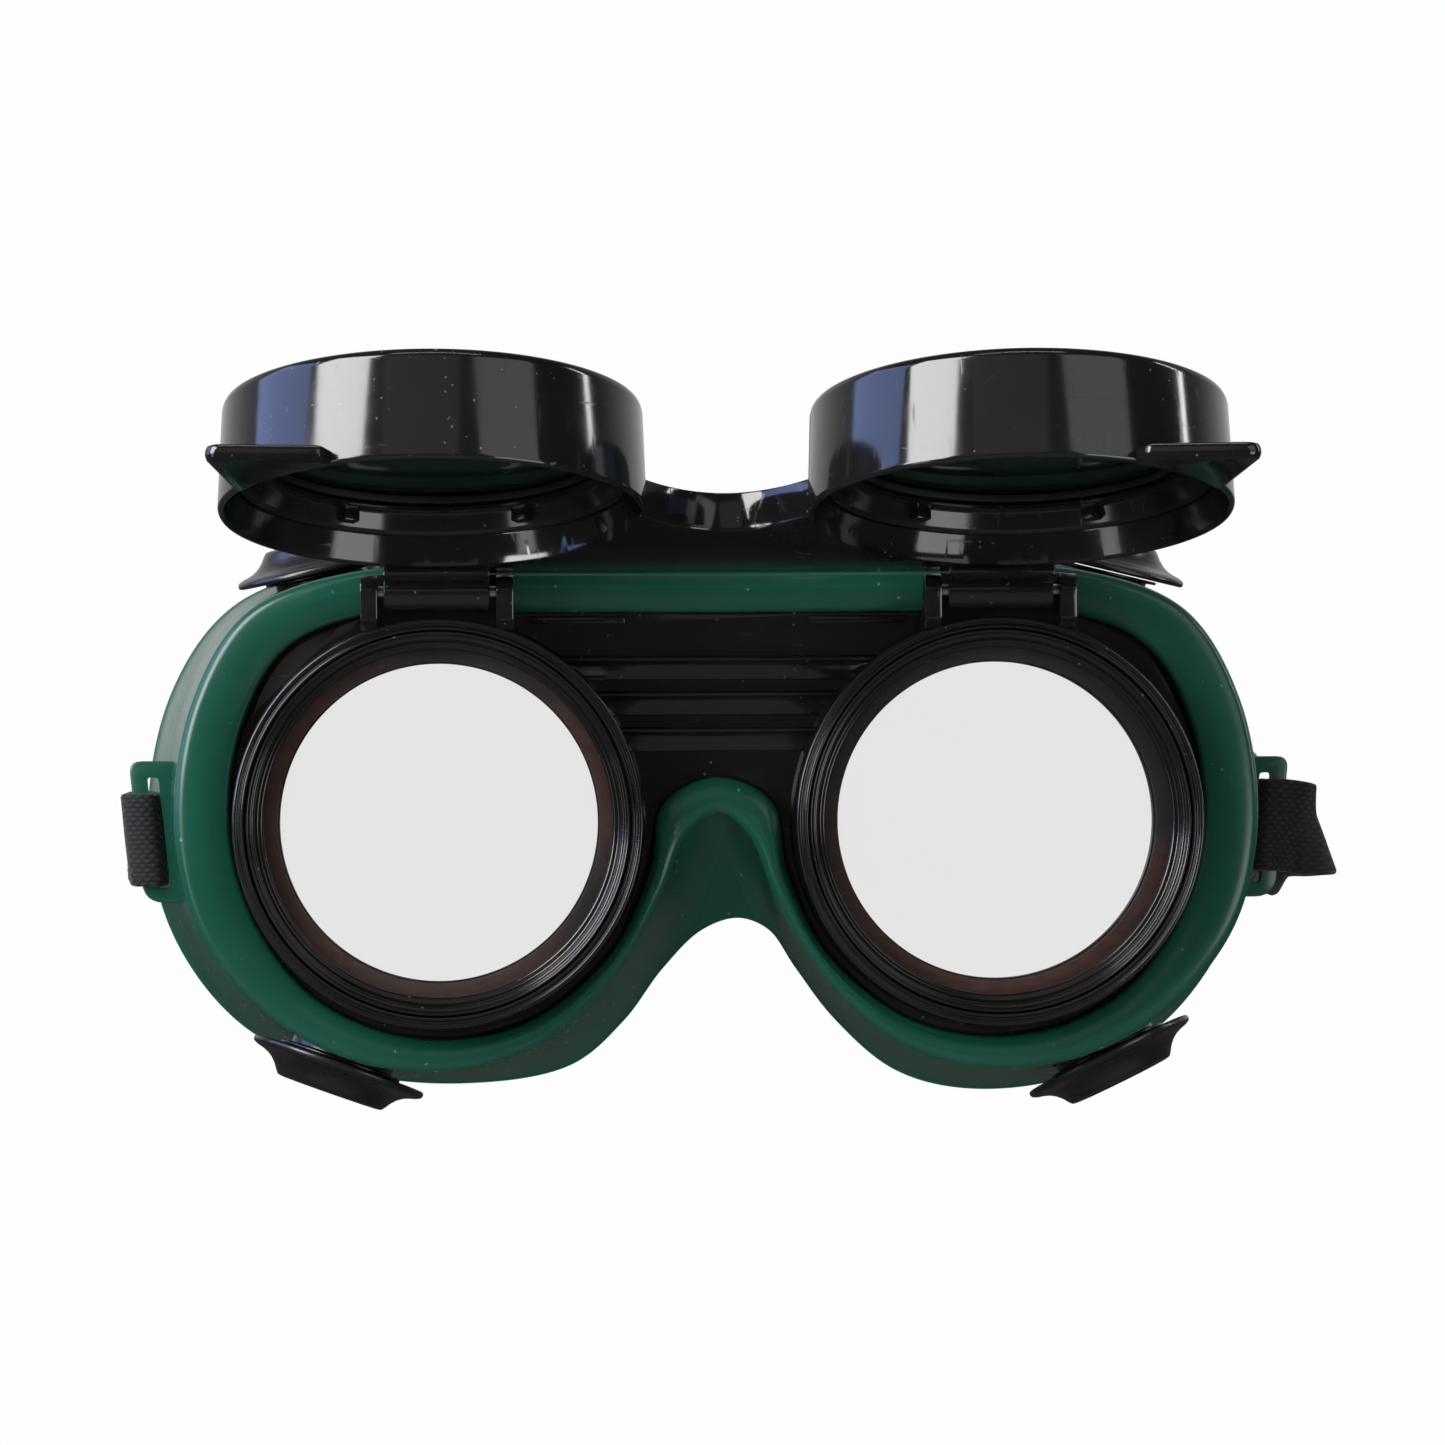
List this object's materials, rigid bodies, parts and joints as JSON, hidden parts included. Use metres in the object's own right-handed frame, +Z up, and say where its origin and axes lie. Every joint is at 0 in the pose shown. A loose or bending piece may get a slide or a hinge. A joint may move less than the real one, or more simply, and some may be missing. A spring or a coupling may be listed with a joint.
{
  "type": "welding goggles",
  "caption": "Soft-framed welding goggles with round clear lenses, a lift-up front with dark lenses, baffled vents and an elastic strap.",
  "frame": {"origin": "the middle of the face seal, level with the lens centres, midway between the two lenses", "axes": "+Y from the lenses towards the wearer's face and the back of the strap, +Z up, +X to the right in a front view"},
  "size_m": [0.1797, 0.221, 0.1044],
  "materials": {
    "green_pvc": "glossy soft moulding",
    "black_plastic": "glossy, lightly scratched",
    "vent_plastic": "satin",
    "clear_glass": "polished",
    "dark_glass": "polished, dark green",
    "red_fibre": "pressed fibre",
    "black_rubber": "soft rubber",
    "steel": "drawn wire",
    "black_elastic": "woven elastic"
  },
  "bodies": {
    "mask": {"frame": "green_pvc", "cover_plate": "black_plastic", "strap": "black_elastic", "clear_lens_left": "clear_glass", "fibre_gasket_left": "red_fibre", "hinge_pin_left": "steel", "clear_lens_right": "clear_glass", "fibre_gasket_right": "red_fibre", "hinge_pin_right": "steel", "vent_base_upper_left": "vent_plastic", "vent_cap_upper_left": "vent_plastic", "vent_base_upper_right": "vent_plastic", "vent_cap_upper_right": "vent_plastic", "vent_base_lower_left": "vent_plastic", "vent_cap_lower_left": "vent_plastic", "vent_base_lower_right": "vent_plastic", "vent_cap_lower_right": "vent_plastic"},
    "flip": {"flip_front": "black_plastic", "spatter_lens_left": "clear_glass", "spatter_lens_right": "clear_glass", "shade_lens_left": "dark_glass", "shade_lens_right": "dark_glass", "shade_gasket_left": "black_rubber", "shade_gasket_right": "black_rubber"},
    "lens_ring_left": {"lens_ring_left": "black_plastic"},
    "shade_ring_left": {"shade_ring_left": "black_plastic"},
    "lens_ring_right": {"lens_ring_right": "black_plastic"},
    "shade_ring_right": {"shade_ring_right": "black_plastic"},
    "slider": {"strap_slider": "black_plastic"}
  },
  "joints": [
    {"name": "flip_hinge", "type": "hinge", "parent": "mask", "child": "flip", "pos_m": [0, -0.045, 0.0324], "axis": [1, 0, 0], "range_deg": [0, 102.7]},
    {"name": "lens_ring_left_screw", "type": "hinge", "parent": "mask", "child": "lens_ring_left", "pos_m": [-0.0395, -0.043, 0], "axis": [0, -1, 0], "range_deg": [0, 540]},
    {"name": "lens_ring_right_screw", "type": "hinge", "parent": "mask", "child": "lens_ring_right", "pos_m": [0.0395, -0.043, 0], "axis": [0, -1, 0], "range_deg": [0, 540]},
    {"name": "shade_ring_left_screw", "type": "hinge", "parent": "flip", "child": "shade_ring_left", "pos_m": [-0.0395, -0.07485, 0.04733], "axis": [0, -0.2199, -0.9755], "range_deg": [0, 540]},
    {"name": "shade_ring_right_screw", "type": "hinge", "parent": "flip", "child": "shade_ring_right", "pos_m": [0.0395, -0.07485, 0.04733], "axis": [0, -0.2199, -0.9755], "range_deg": [0, 540]},
    {"name": "slider_slide", "type": "slide", "parent": "mask", "child": "slider", "axis": [-0.1698, 0.9287, 0.3296], "range_m": [-0.01, 0.01]}
  ]
}
